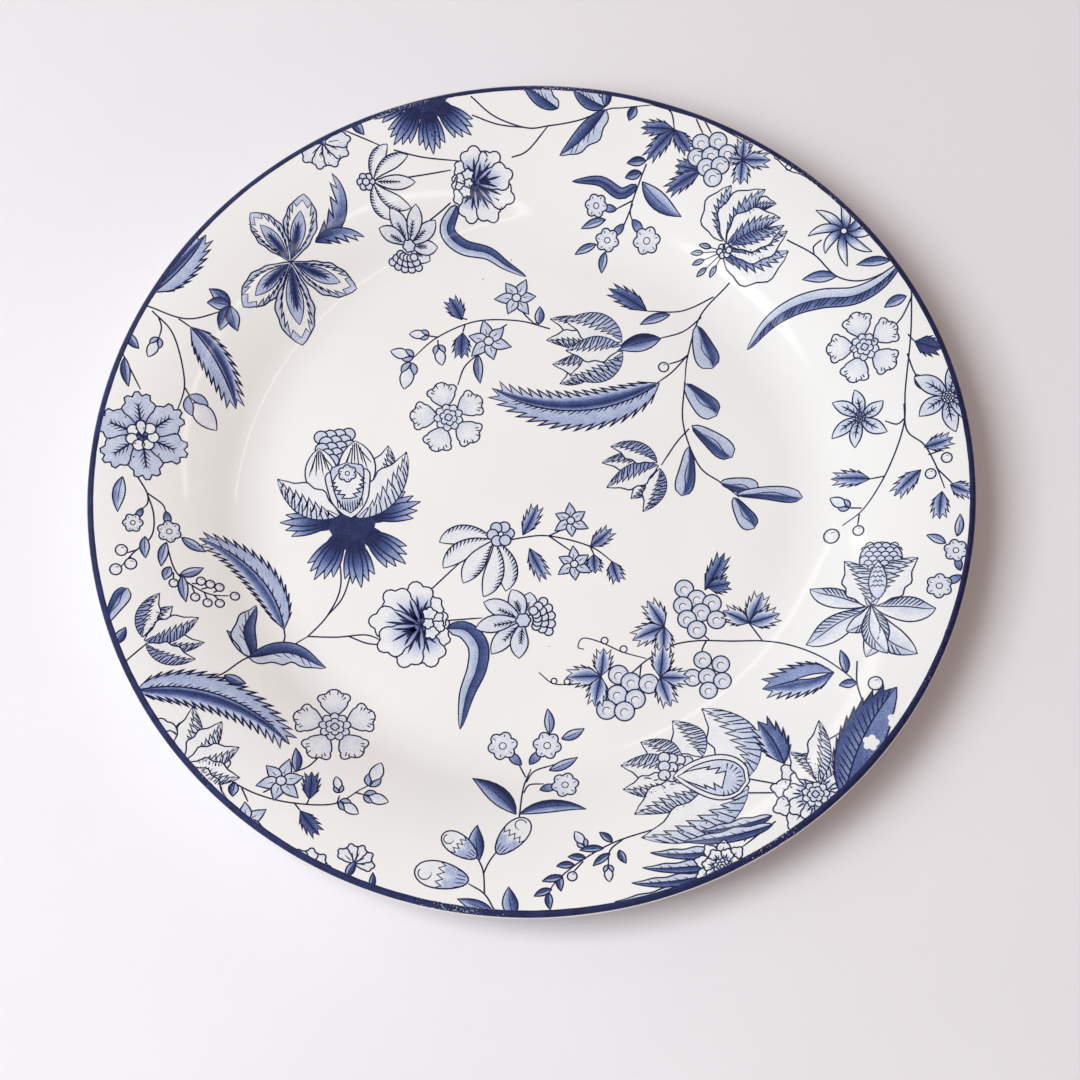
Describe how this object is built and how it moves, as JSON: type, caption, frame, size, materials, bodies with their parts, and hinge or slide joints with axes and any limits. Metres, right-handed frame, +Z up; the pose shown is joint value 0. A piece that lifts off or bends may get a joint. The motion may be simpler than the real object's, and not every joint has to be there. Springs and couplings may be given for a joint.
{
  "type": "china serving platter",
  "caption": "Round rimmed china platter with a flat well, foot ring, blue floral print and a painted blue line on the lip.",
  "frame": {"origin": "centre of the plane that the foot ring rests on", "axes": "+Z up along the platter's axis, out of the face"},
  "size_m": [0.305, 0.305, 0.0241],
  "materials": {
    "bisque": "matt unglazed china",
    "face_glaze": "clear gloss glaze over white china",
    "back_glaze": "clear gloss glaze over white china",
    "cobalt_band": "fired cobalt enamel, glossy, slightly worn",
    "blue_print": "fired cobalt print, navy lines with pale and mid blue stippled washes"
  },
  "bodies": {
    "root": {"china_body": "bisque", "face_glaze": "face_glaze", "back_glaze": "back_glaze", "base_glaze": "back_glaze", "rim_band": "cobalt_band", "print_top_left": "blue_print", "print_left": "blue_print", "print_lower_left": "blue_print", "print_bottom": "blue_print", "print_lower_right": "blue_print", "print_right": "blue_print", "print_upper_right": "blue_print", "print_top": "blue_print", "print_well_lotus": "blue_print", "print_well_branch": "blue_print", "print_well_blooms": "blue_print", "print_well_vine": "blue_print"}
  },
  "joints": []
}
